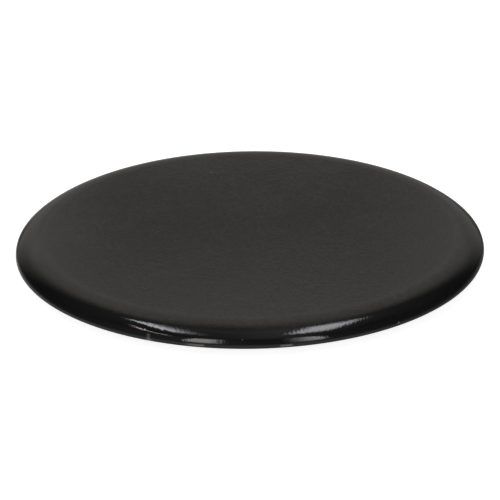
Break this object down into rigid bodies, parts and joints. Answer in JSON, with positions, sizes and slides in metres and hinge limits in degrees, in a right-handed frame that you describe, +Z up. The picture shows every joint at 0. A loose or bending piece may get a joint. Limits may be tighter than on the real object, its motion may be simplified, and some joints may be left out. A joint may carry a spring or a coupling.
{
  "type": "gas burner cap",
  "caption": "Round enamelled steel cap that covers a gas hob burner: flat top, broad shoulder, rounded rim and a locating ring underneath.",
  "frame": {"origin": "on the cap's axis, at the toe of the locating ring, which is the lowest point of the cap", "axes": "+Z up along the cap's axis, out of the flat top; +X and +Y lie in the plane of the toe and are equal by symmetry"},
  "size_m": [0.1, 0.1, 0.007],
  "materials": {
    "enamel": "black vitreous enamel on steel, semi-gloss with a fine orange peel"
  },
  "bodies": {
    "root": {"burner_cap": "enamel"}
  },
  "joints": []
}
